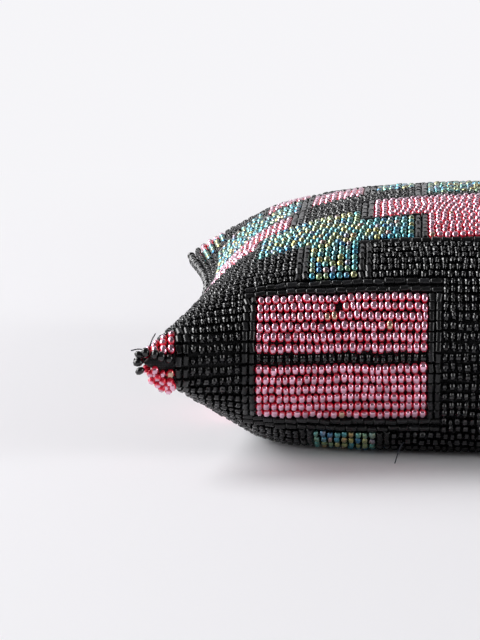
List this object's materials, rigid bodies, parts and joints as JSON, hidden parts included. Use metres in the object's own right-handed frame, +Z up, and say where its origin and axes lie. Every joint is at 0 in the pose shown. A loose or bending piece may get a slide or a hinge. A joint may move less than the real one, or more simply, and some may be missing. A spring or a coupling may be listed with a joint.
{
  "type": "beaded mini crossbody bag",
  "caption": "Small zipped crossbody pouch covered in rows of glass seed beads in black, pink and teal blocks, stuffed to a pillow shape and lying on its back panel.",
  "frame": {"origin": "middle of the whole bag, on the surface that it lies on", "axes": "+Z up out of the surface it lies on, towards the front panel; +X along the folded bottom edge; +Y from the fold to the zip"},
  "size_m": [0.1846, 0.1552, 0.0529],
  "materials": {
    "cloth": "matte",
    "lining": "matte",
    "black_beads": "glossy",
    "pink_beads": "glossy",
    "teal_beads": "glossy",
    "tape": "matte",
    "teeth": "satin",
    "metal": "satin"
  },
  "bodies": {
    "bag": {"outer_fabric": "cloth", "lining": "lining", "black_beads_front": "black_beads", "black_beads_back": "black_beads", "side_rope_left": "black_beads", "side_rope_right": "black_beads", "pink_corner_left": "pink_beads", "pink_corner_right": "pink_beads", "pink_fold_front_left": "pink_beads", "pink_fold_front_right": "pink_beads", "teal_narrow_front_left": "teal_beads", "teal_narrow_front_right": "teal_beads", "teal_wide_front_left": "teal_beads", "teal_wide_front_right": "teal_beads", "teal_rise_front_left": "teal_beads", "teal_rise_front_right": "teal_beads", "pink_step_front_left": "pink_beads", "pink_step_front_right": "pink_beads", "teal_band_front_left": "teal_beads", "teal_band_front_right": "teal_beads", "pink_far_front_left": "pink_beads", "pink_far_front_right": "pink_beads", "pink_centre_front": "pink_beads", "pink_cross_front": "pink_beads", "teal_centre_front": "teal_beads", "pink_top_front": "pink_beads", "pink_fold_back_left": "pink_beads", "pink_fold_back_right": "pink_beads", "teal_narrow_back_left": "teal_beads", "teal_narrow_back_right": "teal_beads", "teal_wide_back_left": "teal_beads", "teal_wide_back_right": "teal_beads", "teal_rise_back_left": "teal_beads", "teal_rise_back_right": "teal_beads", "pink_step_back_left": "pink_beads", "pink_step_back_right": "pink_beads", "teal_band_back_left": "teal_beads", "teal_band_back_right": "teal_beads", "pink_far_back_left": "pink_beads", "pink_far_back_right": "pink_beads", "pink_centre_back": "pink_beads", "pink_cross_back": "pink_beads", "teal_centre_back": "teal_beads", "pink_top_back": "pink_beads", "zip_tape_front": "tape", "zip_tape_back": "tape", "zip_teeth_front": "teeth", "zip_teeth_back": "teeth", "zip_stop_left": "metal", "zip_stop_right": "metal", "strap_tab_left": "cloth", "strap_tab_right": "cloth"},
    "slider": {"zip_slider": "metal"},
    "pull": {"zip_pull": "metal"},
    "ring_left": {"strap_ring_left": "metal"},
    "ring_right": {"strap_ring_right": "metal"}
  },
  "joints": [
    {"name": "zip_slide", "type": "slide", "parent": "bag", "child": "slider", "axis": [-1, 0, 0], "range_m": [0, 0.105]},
    {"name": "pull_swing", "type": "hinge", "parent": "slider", "child": "pull", "pos_m": [0.057, 0.07132, 0.0235], "axis": [0, 0, -1], "range_deg": [0, 140]},
    {"name": "ring_left_swing", "type": "hinge", "parent": "bag", "child": "ring_left", "pos_m": [-0.0753, 0.07472, 0.0235], "axis": [1, 0, 0], "range_deg": [-15, 165]},
    {"name": "ring_right_swing", "type": "hinge", "parent": "bag", "child": "ring_right", "pos_m": [0.0753, 0.07472, 0.0235], "axis": [1, 0, 0], "range_deg": [-15, 165]}
  ]
}
